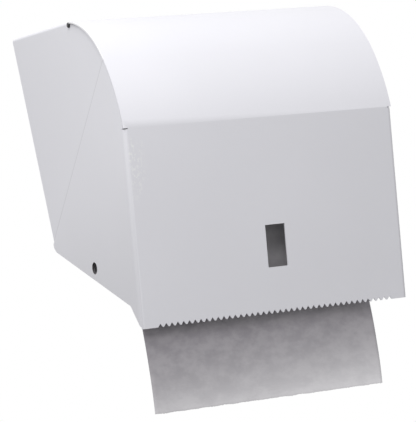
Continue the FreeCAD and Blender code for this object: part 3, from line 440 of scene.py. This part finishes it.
def makeRod(s):  # wire with a pressed-on round cap at each end
    y, z = s["place"]
    crown = [(s["end"] - back, s["head"] * share) for back, share in s["crown"]]
    half = [(s["neck"], s["radius"]), (s["neck"], s["head"]), *crown, (s["end"], 0)]
    form = bmesh.new()
    places = [(-x, r) for x, r in reversed(half)] + half
    verts = [form.verts.new((x * mm, y, z + r * mm)) for x, r in places]
    for first, second in zip(verts, verts[1:]):
        form.edges.new((first, second))
    turnedRound(form, (0, y, z), s["steps"])
    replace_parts(newPiece("hinge_wire", "case", form, "black_steel"), "hinge_rod")


makeRod(rod)
print("hinge rod made")


# centre is (y, z) in metres, the rest in millimetres and degrees
roll = {"centre": (-0.086, -0.021), "bore": 20.35, "radius": 44.9, "layers": 22, "ridge": 0.22,
        "leastRidge": 0.2, "steps": 120, "smooth": 60.0}


def makeRoll(s):  # its end faces rise and fall with the wound layers
    low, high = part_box("paper_roll")
    form = bmesh.new()
    rows = []
    for k in range(s["layers"] + 1):
        radius = (s["bore"] + k / s["layers"] * (s["radius"] - s["bore"])) * mm
        sink = random.uniform(s["leastRidge"], 1.0) if 0 < k < s["layers"] else 1.0
        rows.append((radius, sink * s["ridge"] * mm))
    ring = [(high.x - sink, radius) for radius, sink in rows]
    ring += [(low.x + sink, radius) for radius, sink in reversed(rows)]
    verts = [form.verts.new((x, s["centre"][0], s["centre"][1] + radius)) for x, radius in ring]
    for first, second in zip(verts, verts[1:] + verts[:1]):
        form.edges.new((first, second))
    turnedRound(form, (0, *s["centre"]), s["steps"])
    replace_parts(newPiece("towel_roll", "roll", form, "rolled_paper", s["smooth"]),
                "paper_roll")


makeRoll(roll)
print("roll made")


springs = {
    "latch_spring_left": {"name": "latch_coil_left", "axis": "x", "start": -95.9, "end": -111.0,
                          "centre": (-73.706, -132.904), "coil": 3.2, "wire": 0.45, "turns": 7},
    "latch_spring_right": {"name": "latch_coil_right", "axis": "x", "start": 95.9, "end": 111.0,
                           "centre": (-73.706, -132.904), "coil": 3.2, "wire": 0.45, "turns": 7},
    "arm_spring": {"name": "arm_coil", "axis": "z", "start": -32.6, "end": -9.4,
                   "centre": (92.95, -10.7), "coil": 2.98, "wire": 0.6, "turns": 15},
}
winding = {"wireSides": 10, "stepsPerTurn": 24}


def makeSpring(node, s, w):  # a round wire wound into a coil
    lengthways = s["axis"] == "x"
    along = Vector((1, 0, 0)) if lengthways else Vector((0, 0, 1))
    side = Vector((0, 0, 1)) if lengthways else Vector((1, 0, 0))
    middle = Vector((0, *s["centre"])) if lengthways else Vector((*s["centre"], 0))
    run = s["end"] - s["start"]
    way = 1 if run > 0 else -1
    first = along * (s["start"] + way * s["wire"]) + middle + side * s["coil"]
    form = bmesh.new()
    bmesh.ops.create_circle(form, cap_ends=True, segments=w["wireSides"], radius=s["wire"] * mm)
    face = side.cross(along).to_track_quat("Z", "Y").to_matrix().to_4x4()
    bmesh.ops.transform(form, matrix=Matrix.Translation(first * mm) @ face, verts=form.verts)
    steps = int(s["turns"] * w["stepsPerTurn"])
    advance = along * (way * (abs(run) - 2 * s["wire"]) / steps) * mm
    bmesh.ops.spin(form, geom=form.faces[:], cent=middle * mm, axis=along, dvec=advance,
                   angle=2 * math.pi * s["turns"], steps=steps, use_duplicate=False)
    bmesh.ops.recalc_face_normals(form, faces=form.faces)
    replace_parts(newPiece(s["name"], "case", form, "spring_steel"), node)


for node, settings in springs.items():
    makeSpring(node, settings, winding)
print("springs wound")


# millimetres and degrees; the sheet runs down behind the front panel, and is free below the exit
tail = {
    "left": -113.1, "right": 86.9, "exit": (-127.356, -197.606), "webAngle": 88.71, "webLength": 175.5,
    "bend": 280.6, "length": 66.6, "forward": 0.25, "furthestBack": -0.95,
    "columns": 200, "rows": 120, "sheet": 0.28, "smooth": 80.0,
    "ruffle": 0.55, "broadWave": (0.022, 0.012, 0), "fineWave": (0.07, 0.03, 5), "fineShare": 0.35,
    "looseFrom": -8.0, "looseOver": 40.0, "looseness": 1.6, "edgeCurl": 0.9, "curlOver": 2.2,
    "torn": 0.9, "fineTear": (0.9, 3), "broadTear": (0.12, 9),
    "shadeFrom": -4.0, "shadeOver": 60.0, "paleTop": 0.45, "paleTopOver": 9.0, "paleDown": 0.86,
    "paleAcross": 0.14,
}


def bounded(share):
    return max(0.0, min(1.0, share))


def tailPoint(s, along):  # along is measured down from the exit, negative inside the case
    angle = math.radians(s["webAngle"])
    y, z = s["exit"]
    if along <= 0:
        back = Vector((math.cos(angle), -math.sin(angle)))
        return Vector((y, z)) + back * along, angle
    end = angle - along / s["bend"]
    return Vector((y + s["bend"] * (math.sin(angle) - math.sin(end)),
                   z - s["bend"] * (math.cos(end) - math.cos(angle)))), end


def tornBy(s, x):  # how much shorter the torn edge is at x
    fine, broad = (noise.noise(Vector((x * scale, 0, row)))
                   for scale, row in (s["fineTear"], s["broadTear"]))
    return s["torn"] * (0.5 + 0.5 * fine + 0.5 * broad)


def paleness(s, along, across):  # 0 where the cover shades the sheet most, 1 in full light
    if along < 0:
        return bounded((s["shadeFrom"] - along) / s["shadeOver"])
    top = s["paleTop"] * max(0.0, 1 - along / s["paleTopOver"])
    return min(1.0, top + s["paleDown"] * along / s["length"] + s["paleAcross"] * across)


def liftAt(s, x, along):  # how far the paper stands off its middle surface
    loose = bounded((along - s["looseFrom"]) / s["looseOver"])
    waves = [noise.noise(Vector((x * scaleX, along * scaleAlong, row))) * s["ruffle"]
             for scaleX, scaleAlong, row in (s["broadWave"], s["fineWave"])]
    wave = waves[0] + waves[1] * s["fineShare"]
    edge = min(x - s["left"], s["right"] - x)
    curl = s["edgeCurl"] * max(0.0, 1 - edge / s["curlOver"]) ** 2
    return max(s["forward"] + wave * loose * s["looseness"] - curl * loose, s["furthestBack"])


def makeTail(s):
    form = bmesh.new()
    bmesh.ops.create_grid(form, x_segments=s["columns"], y_segments=s["rows"], size=0.5)  # a unit square
    hang = form.verts.layers.float.new("hang")
    for vert in form.verts:
        across, down = vert.co.x + 0.5, 0.5 - vert.co.y
        x = s["left"] + across * (s["right"] - s["left"])
        along = down * (s["webLength"] + s["length"]) - s["webLength"]
        lastRow = down > 1 - 0.5 / s["rows"]
        spot = along - tornBy(s, x) if lastRow else along
        vert[hang] = paleness(s, spot, across)
        (y, z), angle = tailPoint(s, spot)
        lift = liftAt(s, x, spot)
        vert.co = Vector((x, y - lift * math.sin(angle), z - lift * math.cos(angle))) * mm
    bmesh.ops.recalc_face_normals(form, faces=form.faces)
    piece = newPiece("towel_tail", "case", form, "towel_paper", s["smooth"])
    thick = piece.modifiers.new("thickness", "SOLIDIFY")
    thick.thickness = s["sheet"] * mm
    thick.offset = 0
    evenShading(piece)
    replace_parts(piece, "paper_tail")


makeTail(tail)
print("towel hung")


# metres; the camera sees the floor in floorShown, and floorTone is what lights the object from below
stageSettings = {
    "floor": -2.4, "radius": 22.0, "floorSides": 96, "floorShown": 0.93, "floorTone": 0.62,
    "floorRoughness": 0.9, "sky": 0.575,
    "keyTurn": (-0.47, -0.67, 0.61), "keyFar": 1.05, "keySize": 1.0, "keyLevel": 0.69,
}


def makeFloor(s):
    form = bmesh.new()
    bmesh.ops.create_circle(form, cap_ends=True, segments=s["floorSides"], radius=s["radius"])
    bmesh.ops.translate(form, vec=(0, 0, s["floor"]), verts=form.verts)
    mesh = bpy.data.meshes.new("floor")
    form.to_mesh(mesh)
    form.free()
    p = Paint("floor_board")
    seen = p.add("ShaderNodeLightPath", output="Is Camera Ray")
    colour = p.blend(seen, grey(s["floorTone"]), grey(s["floorShown"]))
    mesh.materials.append(p.finish({"Base Color": colour, "Roughness": s["floorRoughness"]}))
    floor = bpy.data.objects.new("floor", mesh)
    bpy.context.scene.collection.objects.link(floor)


def makeSky(s):  # white where it is seen, and even light at the sky's level elsewhere
    world = bpy.data.worlds.new("studio")
    bpy.context.scene.world = world
    world.use_nodes = True
    p = Paint("studio", world.node_tree)
    seen, mirrored, through = (p.add("ShaderNodeLightPath", output=kind) for kind in
                               ("Is Camera Ray", "Is Glossy Ray", "Is Transmission Ray"))
    shown = (seen + mirrored + through).between(0.0, 1.0)
    strength = shown * (1.0 - s["sky"]) + s["sky"]
    sky = p.add("ShaderNodeBackground", {}, {"Color": grey(1.0), "Strength": strength})
    p.add("ShaderNodeOutputWorld", {}, {"Surface": sky})


def makeKey(s):  # one large round lamp, up and to the left
    turn = Vector(s["keyTurn"]).normalized()
    middle = (cadBox[0] + cadBox[1]) / 2
    lamp = bpy.data.lights.new("key", "AREA")
    lamp.shape = "DISK"
    lamp.size = s["keySize"]
    lamp.energy = s["keyLevel"] * math.pi ** 2 * s["keyFar"] ** 2  # keyLevel: what white facing it shows
    key = bpy.data.objects.new("key", lamp)
    key.matrix_world = (Matrix.Translation(middle + turn * s["keyFar"])
                        @ turn.to_track_quat("Z", "Y").to_matrix().to_4x4())
    bpy.context.scene.collection.objects.link(key)


makeFloor(stageSettings)
makeSky(stageSettings)
makeKey(stageSettings)
bpy.context.scene.view_settings.view_transform = "Standard"
print("stage set")
